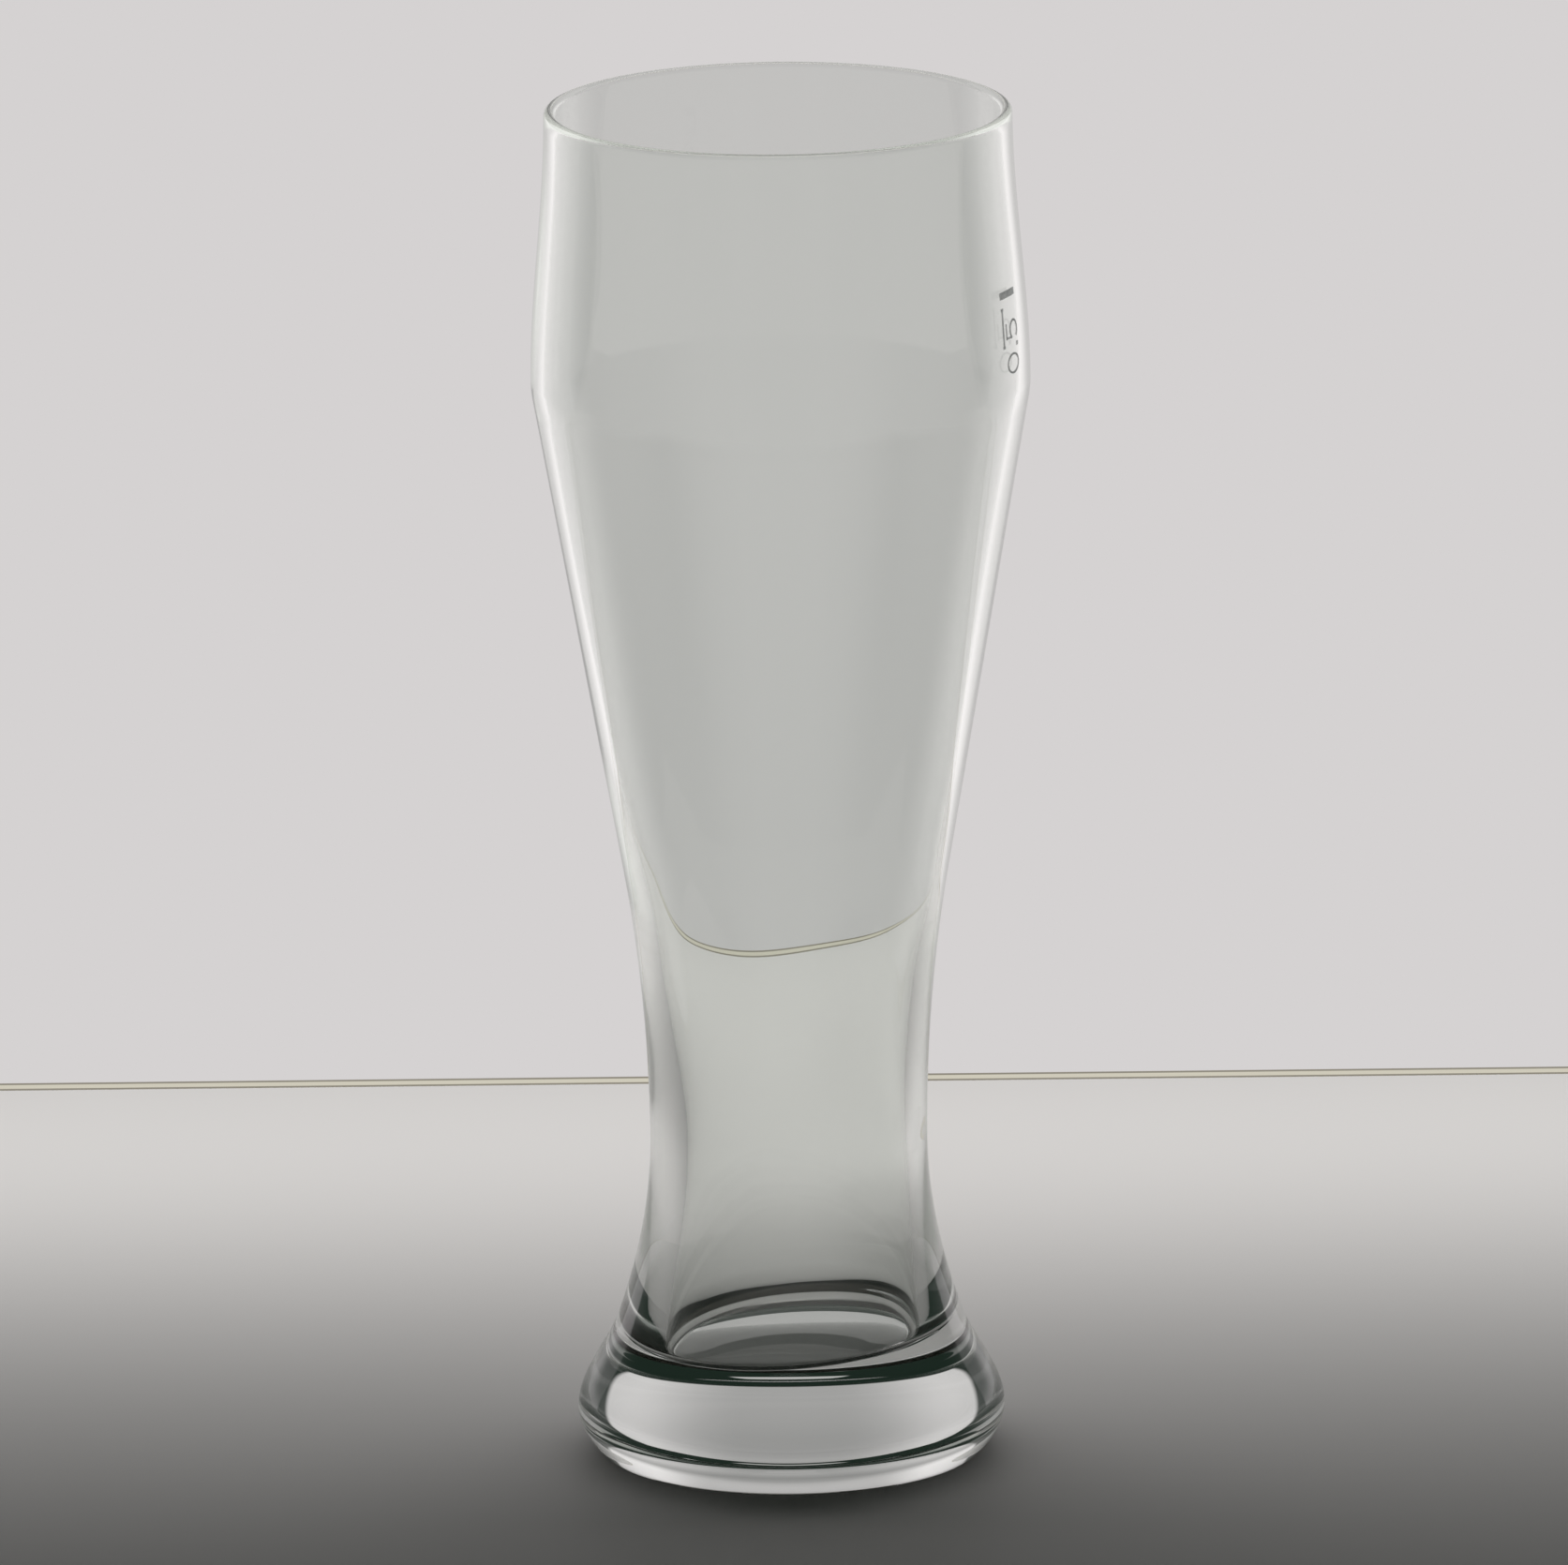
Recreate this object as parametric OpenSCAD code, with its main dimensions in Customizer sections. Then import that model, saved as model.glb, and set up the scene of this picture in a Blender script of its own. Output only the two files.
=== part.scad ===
// Tall wheat beer glass in clear soda-lime glass: a wide bowl that draws in
// to a narrow waist and spreads again to a heavy solid foot.
// The origin is the middle of the face it stands on, +Z is up, in millimetres.

/* [Overall] */
// Height of the glass, from the table to the top of the rim
height = 233; // [225:1:250]

/* [Bowl] */
// Outer diameter at the rim
rim_d = 79; // [74:0.2:82]
// Outer diameter at the belt, the widest part of the bowl
belt_d = 84.4; // [83:0.2:92]
// Height of the belt
belt_z = 186.4; // [182:0.2:196]
// Height over which the belt bends into the straight taper
belt_bend_h = 5.6; // [4:0.2:20]
// Width lost over that bend, on each side
belt_bend_w = 0.75; // [0.6:0.05:1.8]
// Lean of the straight taper from upright, in degrees
taper_angle = 9.9; // [8:0.1:11]
// Height where the straight taper ends and the waist curve starts
taper_end_z = 101.2; // [90:0.2:120]

/* [Waist] */
// Outer diameter at the waist, the narrowest part
waist_d = 47.2; // [42:0.2:54]
// Height of the waist
waist_z = 54.6; // [45:0.2:68]

/* [Foot] */
// Outer diameter part way down the flare
flare_d = 59.2; // [54:0.2:64]
// Height of that point of the flare
flare_z = 22.8; // [19:0.2:28]
// Lean of the flare there, in degrees from upright
flare_angle = 19.9; // [10:0.1:30]
// Outer diameter at the foot's widest point
foot_d = 72.8; // [71:0.2:80]
// Height of the foot's widest point
foot_z = 7.4; // [4:0.1:9]
// Lean of the foot's lower edge where it meets the table, in degrees from upright
foot_angle = 47; // [30:1:52]
// Outer diameter of the flat ring that the glass stands on
rest_d = 64.8; // [58:0.2:66.4]
// Width of that ring
rest_w = 2.6; // [1.5:0.1:5]
// Height of the shallow hollow under the foot
hollow_h = 0.9; // [0.3:0.1:3]

/* [Glass thickness] */
// Wall of the bowl
wall = 1.95; // [1.4:0.05:2.6]
// Wall at the waist
waist_wall = 4.9; // [3.5:0.05:7]
// Height where the thin wall of the bowl starts to thicken downwards
settle_z = 124; // [122:1:150]
// Height of the throat, where the bowl opens into the stem
throat_z = 88; // [80:1:96]
// Wall at the throat
throat_wall = 3.05; // [2.4:0.05:4]
// Lean of the inner wall at the throat, in degrees from upright
throat_angle = 11.2; // [9:0.1:18]
// Wall beside the floor of the bowl
heel_wall = 8.8; // [6:0.1:11]
// Lean of the inner wall beside the floor, in degrees from upright
heel_angle = 8; // [2:0.5:20]
// Solid glass below the edge of the floor of the bowl
floor_z = 17.8; // [14:0.1:24]
// Radius of the corner between floor and wall
floor_corner_r = 2.3; // [1:0.1:5]
// Depth of the dished floor in the middle
floor_dish = 0.5; // [0.2:0.1:1.5]

/* [Fill mark] */
// Drop from the rim to the upper edge of the fill line
mark_drop = 28.4; // [15:0.1:40]
// Height of the line
mark_h = 1.2; // [0.6:0.1:2]
// Length of the line along the wall
mark_w = 5.8; // [4:0.1:20]
// Direction of the line's front end, in degrees from the front
mark_angle = 63.2; // [0:0.1:180]
// Thickness of the fired-on ink
ink = 0.12; // [0.08:0.01:0.2]
// Clearance between the ink and the wall that carries it
ink_seat = 0.08; // [0.05:0.01:0.15]
// Gap between the line and the upright stroke under it
stroke_gap = 1.5; // [0.8:0.1:4]
// Length of the upright stroke
stroke_h = 6.9; // [3:0.1:9]
// Width of the upright stroke
stroke_w = 0.4; // [0.2:0.05:0.8]
// Size of the small bar that ends the stroke
serif_h = 0.45; // [0.3:0.05:0.8]
// Length of that bar along the wall
serif_w = 0.8; // [0.6:0.1:1.6]

/* [Smoothness] */
// Sides of the round shapes
facets = 180; // [60:4:360]
// Steps of each long curve of the wall
steps = 12; // [6:1:24]

/* [Hidden] */
$fn = facets;
rim_r = rim_d / 2;
belt_r = belt_d / 2;
waist_r = waist_d / 2;
flare_r = flare_d / 2;
foot_r = foot_d / 2;
rest_r = rest_d / 2;
quarter_turn = 90;
foot_slope = tan(foot_angle);
taper_slope = tan(taper_angle);
throat_slope = tan(throat_angle);
heel_slope = -tan(heel_angle);
flare_slope = -tan(flare_angle);
taper_top_z = belt_z - belt_bend_h;
taper_top_r = belt_r - belt_bend_w;
taper_end_r = taper_top_r - taper_slope * (taper_top_z - taper_end_z);
rim_round = wall / 2;
rim_base_z = height - rim_round;
mark_z = height - mark_drop;

// The inside: an even thin wall down to where the glass settled, then thicker glass.
// The thin wall is measured square to the surface, so a leaning wall is wider.
taper_wall = wall / cos(taper_angle);
inner_rim_r = rim_r - wall;
inner_belt_r = belt_r - wall;
inner_settle_r = taper_top_r - taper_slope * (taper_top_z - settle_z) - taper_wall;
inner_throat_r = radius_at(throat_z) - throat_wall;
inner_waist_r = waist_r - waist_wall;
heel_z = floor_z + floor_corner_r;
inner_heel_r = radius_at(heel_z) - heel_wall;
corner_mid_r = inner_heel_r - floor_corner_r;

// A smooth stretch of wall between two heights. Each end is [radius, height],
// with the slope there, in width gained for each height climbed.
function stretch(from, to, from_slope, to_slope, n) =
    [for (i = [1 : n]) blend(from, to, from_slope, to_slope, i / n)];

function blend(from, to, from_slope, to_slope, t) =
    let (rise = to[1] - from[1])
    [
        from[0] * (2 * pow(t, 3) - 3 * pow(t, 2) + 1)
            + rise * from_slope * (pow(t, 3) - 2 * pow(t, 2) + t)
            + to[0] * (3 * pow(t, 2) - 2 * pow(t, 3))
            + rise * to_slope * (pow(t, 3) - pow(t, 2)),
        from[1] + rise * t
    ];

// A quarter of an ellipse about a centre, from one direction to another.
function quarter(centre, half_w, half_h, from_angle, to_angle, n) =
    [for (i = [1 : n])
        let (a = from_angle + (to_angle - from_angle) * i / n)
        [centre[0] + half_w * cos(a), centre[1] + half_h * sin(a)]];

// Outside of the glass from the resting ring up to the start of the rim.
function outside() = concat(
    [[rest_r, 0]],
    stretch([rest_r, 0], [foot_r, foot_z], foot_slope, 0, steps),
    stretch([foot_r, foot_z], [flare_r, flare_z], 0, flare_slope, steps),
    stretch([flare_r, flare_z], [waist_r, waist_z], flare_slope, 0, steps),
    stretch([waist_r, waist_z], [taper_end_r, taper_end_z], 0, taper_slope, steps),
    stretch([taper_end_r, taper_end_z], [taper_top_r, taper_top_z],
        taper_slope, taper_slope, 1),
    stretch([taper_top_r, taper_top_z], [belt_r, belt_z], taper_slope, 0, steps),
    stretch([belt_r, belt_z], [rim_r, rim_base_z], 0, 0, steps)
);

// Outer radius of the glass at any height between the table and the rim.
function radius_at(z) = lookup(z, [for (p = outside()) [p[1], p[0]]]);

// The rounded top edge, from outside to inside.
function rim_edge() =
    quarter([rim_r - rim_round, rim_base_z], rim_round, rim_round,
        0, 2 * quarter_turn, steps);

// Inside of the bowl from the rim down to the middle of the floor.
function inside() = concat(
    stretch([inner_rim_r, rim_base_z], [inner_belt_r, belt_z], 0, 0, steps),
    stretch([inner_belt_r, belt_z], [taper_top_r - taper_wall, taper_top_z],
        0, taper_slope, steps),
    stretch([taper_top_r - taper_wall, taper_top_z],
        [inner_settle_r, settle_z], taper_slope, taper_slope, 1),
    stretch([inner_settle_r, settle_z], [inner_throat_r, throat_z],
        taper_slope, throat_slope, steps),
    stretch([inner_throat_r, throat_z], [inner_waist_r, waist_z],
        throat_slope, 0, steps),
    stretch([inner_waist_r, waist_z], [inner_heel_r, heel_z], 0, heel_slope, steps),
    quarter([corner_mid_r, heel_z], floor_corner_r, floor_corner_r,
        0, -quarter_turn, steps),
    dish(corner_mid_r, floor_z, floor_dish)
);

// A shallow dish from its edge to its middle.
function dish(r, z, depth) =
    [for (i = [1 : steps]) [r * (1 - i / steps),
        z - depth * (1 - pow(1 - i / steps, 2))]];

// The hollow under the foot, from its middle out to the resting ring.
function underside() =
    [for (i = [0 : steps]) [(rest_r - rest_w) * i / steps,
        hollow_h * (1 - pow(i / steps, 2))]];

// The bowl, waist and foot are one piece of glass.
module glass_body() {
    color([0.86, 0.92, 0.89, 0.35])
        rotate_extrude()
            polygon(concat(outside(), rim_edge(), inside(), underside()));
}

// The turn round the axis that a length along the wall takes, in degrees.
function turn_of(length, z) = length / radius_at(z) * 180 / PI;

// A patch of ink on the outside of the wall, between two heights.
module wall_patch(bottom, top, from_angle, turn) {
    rows = concat([bottom],
        [for (p = outside()) if (p[1] > bottom && p[1] < top) p[1]], [top]);
    backing = [for (z = rows) [radius_at(z) + ink_seat, z]];
    face = [for (i = [len(rows) - 1 : -1 : 0])
        [radius_at(rows[i]) + ink_seat + ink, rows[i]]];
    rotate([0, 0, from_angle - quarter_turn])
        rotate_extrude(angle = turn)
            polygon(concat(backing, face));
}

// A block that clears the ink beside the stroke, between its end bars.
module side_cut(bottom, top, from_angle, turn) {
    rotate([0, 0, from_angle - quarter_turn])
        rotate_extrude(angle = turn)
            translate([radius_at(top) - wall / 2, bottom])
                square([wall, top - bottom]);
}

// The fill line, on the right of the bowl.
module fill_line() {
    color([0.35, 0.4, 0.38])
        wall_patch(mark_z - mark_h, mark_z, mark_angle, turn_of(mark_w, mark_z));
}

// The thin upright stroke below the line, with a small bar at each end.
module mark_stroke() {
    top = mark_z - mark_h - stroke_gap;
    bottom = top - stroke_h;
    stroke_turn = turn_of(stroke_w, top);
    side_turn = (turn_of(serif_w, top) - stroke_turn) / 2;
    color([0.35, 0.4, 0.38])
        difference() {
            wall_patch(bottom, top, mark_angle, stroke_turn + 2 * side_turn);
            side_cut(bottom + serif_h, top - serif_h,
                mark_angle - side_turn, 2 * side_turn);
            side_cut(bottom + serif_h, top - serif_h,
                mark_angle + side_turn + stroke_turn, 2 * side_turn);
        }
}

glass_body();
fill_line();
mark_stroke();
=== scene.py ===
"""Tall weizen glass in clear soda-lime glass, standing on a pale studio floor."""

import math

import bmesh
import bpy
from bpy.props import FloatProperty, IntProperty, PointerProperty, StringProperty
from mathutils import Matrix, Vector


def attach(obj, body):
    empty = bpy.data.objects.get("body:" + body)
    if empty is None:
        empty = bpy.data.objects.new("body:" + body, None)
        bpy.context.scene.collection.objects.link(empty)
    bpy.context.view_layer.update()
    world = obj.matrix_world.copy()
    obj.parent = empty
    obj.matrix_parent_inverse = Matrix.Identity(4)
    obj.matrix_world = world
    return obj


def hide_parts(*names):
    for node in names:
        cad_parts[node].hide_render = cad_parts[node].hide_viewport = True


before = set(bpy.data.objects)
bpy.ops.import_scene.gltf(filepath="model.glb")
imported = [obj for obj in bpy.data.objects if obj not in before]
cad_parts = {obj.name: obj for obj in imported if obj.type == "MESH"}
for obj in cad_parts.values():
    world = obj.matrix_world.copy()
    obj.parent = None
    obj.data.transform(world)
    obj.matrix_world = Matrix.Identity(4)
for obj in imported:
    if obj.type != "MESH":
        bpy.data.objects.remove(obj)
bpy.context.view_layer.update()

bl_info = {
    "name": "Weizen glass",
    "version": (1, 0, 0),
    "blender": (4, 5, 0),
    "location": "View3D > Sidebar > Weizen glass",
    "description": "Makes a tall wheat beer glass with its fill mark, and a pale studio stage",
    "category": "Object",
}

MM = 0.001
FULL_TURN = 2 * math.pi
QUARTER_TURN = math.pi / 2

# Steps of the straight taper, which needs fewer than a curve.
STRAIGHT_STEPS = 8

# The waves in the blown inner wall: how strong each is, how many go round the glass, where
# they start, and over how much height they turn by one radian.
WALL_WAVES = (
    (1.0, 2, 0.6, 45 * MM),
    (0.6, 3, 2.1, -30 * MM),
    (0.35, 5, 0.0, 17 * MM),
)
# Over this height below the rim the waves fade out, so that the rim is even.
RIM_FADE = 30 * MM
# Within this radius everything uneven fades out, so that the middle of the floor closes.
CENTRE_FADE = 10 * MM
# How far above the floor its lean still bends the wall.
TILT_REACH = 40 * MM

# Slices of the fill line and of the stroke's end bars, so that they bend round the wall.
LINE_SLICES = 12
SERIF_SLICES = 2
# Steps of the numerals' round strokes.
NOUGHT_STEPS = 40
FIVE_STEPS = 28
# The five in shares of its width and height: the middle and the half size of its bowl, the top
# of its upright, and the two ends of its flag.
BOWL_MIDDLE_SHARES = (0.46, 0.33)
BOWL_HALF_SHARES = (0.5, 0.33)
UPRIGHT_TOP_SHARE = 0.12
FLAG_END_SHARES = (0.04, 0.9)
# How far round its bowl goes, up and down from its right side.
BOWL_TURN = math.radians(140)

# Bounces of light are whole numbers, so a limit lies half way between two of them.
HALF_BOUNCE = 0.5


# Sizes and colours


def length(name, description, millimetres):
    """A length that the user can set, kept in metres."""
    return FloatProperty(
        name=name,
        description=description,
        default=millimetres * MM,
        subtype="DISTANCE",
        unit="LENGTH",
        precision=5,
    )


def angle(name, description, degrees):
    """An angle that the user can set, kept in radians."""
    return FloatProperty(
        name=name,
        description=description,
        default=math.radians(degrees),
        subtype="ANGLE",
        unit="ROTATION",
    )


def level(name, description, value):
    """A plain factor that the user can set."""
    return FloatProperty(name=name, description=description, default=value, min=0.0)


def count(name, description, value):
    """A whole number that the user can set."""
    return IntProperty(name=name, description=description, default=value, min=1)


def hex_colour(name, description, value):
    """A colour that the user can set, as an sRGB hex value."""
    return StringProperty(name=name, description=description, default=value)


class GlassSizes(bpy.types.PropertyGroup):
    """Sizes of the glass: those of the solid model, and its blown wall's unevenness."""

    height: length("Height", "From the table to the top of the rim", 233)
    rim_width: length("Rim", "Outer diameter at the rim", 79)
    belt_width: length("Belt", "Outer diameter at the widest part", 84.4)
    belt_height: length("Belt height", "Height of the widest part", 186.4)
    bend_height: length("Belt bend", "Height over which the belt bends into the taper", 5.6)
    bend_depth: length("Belt bend depth", "Width lost over that bend, on each side", 0.75)
    taper: angle("Taper", "Lean of the straight taper from upright", 9.9)
    taper_end: length("Taper end", "Height where the straight taper ends", 101.2)
    waist_width: length("Waist", "Outer diameter at the narrowest part", 47.2)
    waist_height: length("Waist height", "Height of the narrowest part", 54.6)
    flare_width: length("Flare", "Outer diameter part way down the flare", 59.2)
    flare_height: length("Flare height", "Height of that point", 22.8)
    flare_lean: angle("Flare lean", "Lean of the flare there", 19.9)
    foot_width: length("Foot", "Outer diameter at the foot's widest point", 72.8)
    foot_height: length("Foot height", "Height of the foot's widest point", 7.4)
    foot_lean: angle("Foot lean", "Lean of the foot's lower edge where it meets the table", 47)
    rest_width: length("Resting ring", "Outer diameter of the ring it stands on", 64.8)
    rest_ring: length("Ring width", "Width of the flat ring", 2.6)
    hollow: length("Hollow", "Height of the hollow under the foot", 0.9)
    wall: length("Wall", "Wall of the bowl", 1.95)
    settle_height: length("Settle height", "Where the thin wall starts to thicken downwards", 124)
    throat_height: length("Throat height", "Where the bowl opens into the stem", 88)
    throat_wall: length("Throat wall", "Wall at the throat", 3.05)
    throat_lean: angle("Throat lean", "Lean of the inner wall at the throat", 11.2)
    waist_wall: length("Waist wall", "Wall at the waist", 4.9)
    heel_wall: length("Heel wall", "Wall beside the floor of the bowl", 8.8)
    heel_lean: angle("Heel lean", "Lean of the inner wall beside the floor", 8)
    floor_height: length("Floor", "Solid glass below the edge of the floor of the bowl", 17.8)
    floor_corner: length("Floor corner", "Radius between floor and wall", 2.3)
    floor_dish: length("Floor dish", "Depth of the dished floor in the middle", 0.5)
    floor_tilt: angle("Floor tilt", "Lean of the blown floor, higher on the right", 4.6)
    waviness: length("Waviness", "Unevenness of the blown inner wall", 0.1)
    drift: length("Cavity drift", "How far right of the axis the hollow is at the waist", 0.9)
    drift_height: length("Drift height", "Where the hollow is farthest off the axis", 48)
    drift_reach: length("Drift reach", "How far up and down it takes to come back", 19.5)
    swerve: length("Swerve", "How far right the hollow is again above the throat", 0.25)
    swerve_height: length("Swerve height", "Height of that swerve", 95)
    swerve_reach: length("Swerve reach", "How far up and down the swerve reaches", 10)
    oval: length("Oval", "How much wider than round the hollow is at the throat", 0.27)
    oval_height: length("Oval height", "Height where the hollow is most oval", 77)
    oval_reach: length("Oval reach", "How far up and down it is oval", 15)
    rounds: count("Facets", "Facets round the glass", 288)
    steps: count("Steps", "Steps of each curve of the wall", 26)


class GlassLook(bpy.types.PropertyGroup):
    """Look of the clear soda-lime glass."""

    tint: hex_colour("Tint", "Faint green cast of the glass", "#FAFCFA")
    bending: level("IOR", "Index of refraction", 1.52)
    trapped_after: count("Trapped after", "Reflections until trapped light leaves the wall", 4)
    lost_after: count("Lost after", "Bounces of any kind until light leaves the wall", 9)


class MarkSizes(bpy.types.PropertyGroup):
    """Sizes and look of the fired-on fill mark."""

    drop: length("Drop", "From the rim to the upper edge of the line", 28.4)
    line_height: length("Line height", "Height of the fill line", 1.2)
    line_length: length("Line length", "Length of the fill line along the wall", 5.8)
    turn: angle("Direction", "Front end of the line, from the front of the glass", 63.2)
    ink: length("Ink", "Thickness of the fired-on ink", 0.1)
    stroke_gap: length("Stroke gap", "Gap between the line and the stroke", 1.5)
    stroke_length: length("Stroke length", "Length of the upright stroke", 6.9)
    stroke_width: length("Stroke width", "Width of the upright stroke", 0.4)
    serif_width: length("Serif", "Width of the bar at each end of the stroke", 0.8)
    serif_height: length("Serif height", "Height of the bar at each end", 0.45)
    digit_height: length("Digit height", "Height of the numerals, which lie on their side", 4.4)
    digit_width: length("Digit width", "Width of the numerals", 3.2)
    digit_stroke: length("Digit stroke", "Stroke width of the numerals", 0.35)
    digit_gap: length("Digit gap", "Gap between the stroke and the numerals", 0.7)
    five_end: length("End of the five", "From the top of the line down to its lower end", 8.4)
    nought_end: length("End of the nought", "From the top of the line down to its lower end", 14.2)
    point_start: length("Start of the point", "From the top of the line down to the point", 9.2)
    point_size: length("Point", "Size of the square decimal point", 0.7)
    colour: hex_colour("Ink colour", "Colour of the fired ink", "#8F9795")
    grain: length("Grain", "Size of the unevenness that the screen leaves", 0.35)
    dark_share: level("Dark share", "Brightness of its dark grains, as a share of its colour's", 0.8)
    dark_below: level("Dark below", "Level of the grain's noise up to which it is darkest", 0.35)
    full_above: level("Full above", "Level of that noise from which it has its full colour", 0.7)
    thinness: level("Thinness", "Share of the light that passes between its grains", 0.6)


class StageLook(bpy.types.PropertyGroup):
    """Floor, backdrop, lamps and camera. Heights of the wall are angles up from eye level."""

    floor_colour: hex_colour("Floor", "Colour of the floor", "#D6D3D1")
    backdrop_colour: hex_colour("Backdrop", "Colour of the lit backdrop", "#D5D2D2")
    dim_colour: hex_colour("Dim side", "Colour of the unlit room beside the glass", "#1D2822")
    fill_colour: hex_colour("Fill light", "Colour of the soft light from all sides", "#1F2421")
    lit_spread: angle("Lit spread", "How far to each side the lit wall reaches", 50)
    lit_height: angle("Lit height", "How far up the lit wall reaches", 33)
    lit_blur: angle("Lit blur", "How softly the lit wall ends", 2)
    wall_low: angle("Wall fade start", "Height where the wall starts to fade upwards", 0)
    wall_dip: angle("Wall dip", "Height where the wall is dimmest", 7)
    wall_top: angle("Wall top", "Height up to which the wall brightens again", 20)
    low_level: level("Low level", "Light of the wall's middle below eye level", 0.86)
    dip_level: level("Dip level", "Light of the wall's middle where it is dimmest", 0.42)
    top_level: level("Top level", "Light of the wall's middle at its top", 0.59)
    low_spread: angle("Low spread", "How far to each side the wall reaches below eye level", 62)
    low_blur: angle("Low blur", "How softly the wall ends below eye level", 24)
    low_gain: level("Low gain", "How much brighter the wall's sides are below eye level", 0.7)
    low_start: angle("Low gain start", "How far to each side it starts to brighten there", 16)
    low_end: angle("Low gain end", "How far to each side it is brightest there", 32)
    high_gain: level("High gain", "How much brighter the wall's sides are above eye level", 0.75)
    high_start: angle("High gain start", "How far to each side it starts to brighten there", 8)
    high_end: angle("High gain end", "How far to each side it is brightest there", 38)
    front_level: level("Front level", "Light of the wall behind the camera", 0.5)
    front_low: angle("Front fade start", "Height where that wall starts to fade", 4)
    front_high: angle("Front fade end", "Height where that wall is dark", 28)
    front_blur: angle("Front blur", "How softly that wall ends at its sides", 20)
    panel_low: angle("Panel bottom", "Lower edge of the dim ceiling panel behind the glass", 50)
    panel_high: angle("Panel top", "Upper edge of that panel", 62)
    panel_spread: angle("Panel spread", "How far to each side that panel reaches", 35)
    panel_level: level("Panel level", "Light of that panel", 0.7)
    lamp_power: level("Lamp power", "Power of the strip light in W", 2.08)
    lamp_width: length("Lamp width", "Width of the strip light", 1600)
    lamp_depth: length("Lamp depth", "Depth of the strip light", 40)
    lamp_back: length("Lamp distance", "From the glass back to the strip light", 200)
    lamp_height: length("Lamp height", "Height of the strip light", 200)
    spot_power: level("Spot power", "Power of the small lamp on the fill mark in W", 7.0)
    spot_spread: angle("Spot spread", "Width of its cone", 11)
    spot_size: length("Spot size", "Radius of that lamp, which softens its shadows", 20)
    spot_away: length("Spot distance", "From the glass to that lamp", 900)
    spot_turn: angle("Spot direction", "Direction of that lamp, from the front", 62)
    shade_side: length("Shade side", "How far to each side only lamps light the floor", 230)
    shade_front: length("Shade front", "How far to the front only lamps light the floor", 130)
    shade_blur: length("Shade blur", "How softly that part ends", 240)
    # Strength of the painted light with which the floor glows beyond the shaded part.
    painted_glow_level: level("Even light", "Light of the floor beyond that part", 0.65)
    floor_back: length("Floor edge", "From the glass to the back edge of the floor", 250)
    floor_reach: length("Floor reach", "From the glass to the other edges of the floor", 9000)
    joint_width: length("Joint", "Width of the joint between the floor and the backdrop", 5.4)
    joint_colour: hex_colour("Joint colour", "Colour of the pale filler in it", "#CFCABA")
    edge_width: length("Joint edge", "Width of the darker edges of the filler", 1.3)
    edge_colour: hex_colour("Joint edge colour", "Colour of those edges", "#8F8A7E")
    camera_away: length("Camera distance", "Level distance of the camera", 3523)
    camera_height: length("Camera height", "Height of the camera above the floor", 962)
    camera_aside: length("Camera aside", "How far right of the glass it stands", -0.16)
    camera_pitch: angle("Camera pitch", "How far the camera looks down", 13.5)
    camera_roll: angle("Camera roll", "Lean of the camera", -0.62)
    camera_lens: level("Lens", "Focal length in mm", 490.6)
    camera_sensor: level("Sensor", "Width of the sensor in mm", 36.0)


# Nodes


def linear(value):
    """An sRGB hex colour as linear red, green, blue and alpha."""
    parts = [int(value[i : i + 2], 16) / 255 for i in (1, 3, 5)]
    return (*[p / 12.92 if p <= 0.04045 else ((p + 0.055) / 1.055) ** 2.4 for p in parts], 1.0)


def add_node(tree, kind, settings=None, **links):
    """Adds a node, sets its values and links its inputs, each named input to a socket."""
    node = tree.nodes.new(kind)
    for name, value in (settings or {}).items():
        if name in node.inputs:
            node.inputs[name].default_value = value
        else:
            setattr(node, name, value)
    for name, source in links.items():
        tree.links.new(source, node.inputs[name.replace("_", " ")])
    return node


def feed(tree, value, socket):
    """Gives a socket a number, or links it to another socket."""
    if isinstance(value, (int, float)):
        socket.default_value = value
    else:
        tree.links.new(value, socket)


def calculate(tree, operation, first, second=0.0):
    """The result of one step of arithmetic on numbers or sockets."""
    node = add_node(tree, "ShaderNodeMath", {"operation": operation})
    feed(tree, first, node.inputs[0])
    feed(tree, second, node.inputs[1])
    return node.outputs["Value"]


def product(tree, first, *others):
    """Values multiplied together."""
    for other in others:
        first = calculate(tree, "MULTIPLY", first, other)
    return first


def larger(tree, first, second):
    """The larger of two values."""
    return calculate(tree, "MAXIMUM", first, second)


def change(tree, value, start, end, first, last):
    """A level that changes smoothly while a value passes from start to end."""
    settings = {
        "interpolation_type": "SMOOTHSTEP",
        "From Min": start,
        "From Max": end,
        "To Min": first,
        "To Max": last,
    }
    return add_node(tree, "ShaderNodeMapRange", settings, Value=value).outputs["Result"]


def soft_step(tree, value, edge, blur):
    """One below an edge and zero above it, with a soft change."""
    return change(tree, value, edge - blur, edge + blur, 1.0, 0.0)


def mixed(tree, amount, first, second):
    """Two shaders mixed: only the first at an amount of zero, only the second at one."""
    node = add_node(tree, "ShaderNodeMixShader")
    feed(tree, amount, node.inputs[0])
    feed(tree, first, node.inputs[1])
    feed(tree, second, node.inputs[2])
    return node.outputs["Shader"]


def blank_material(name):
    """A new node material with nothing in it yet."""
    material = bpy.data.materials.new(name)
    material.use_nodes = True
    material.node_tree.nodes.clear()
    return material


def no_lamp(material):
    """Keeps a material that gives off light from being sampled as a lamp."""
    material.cycles.emission_sampling = "NONE"
    return material


# Materials


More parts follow.
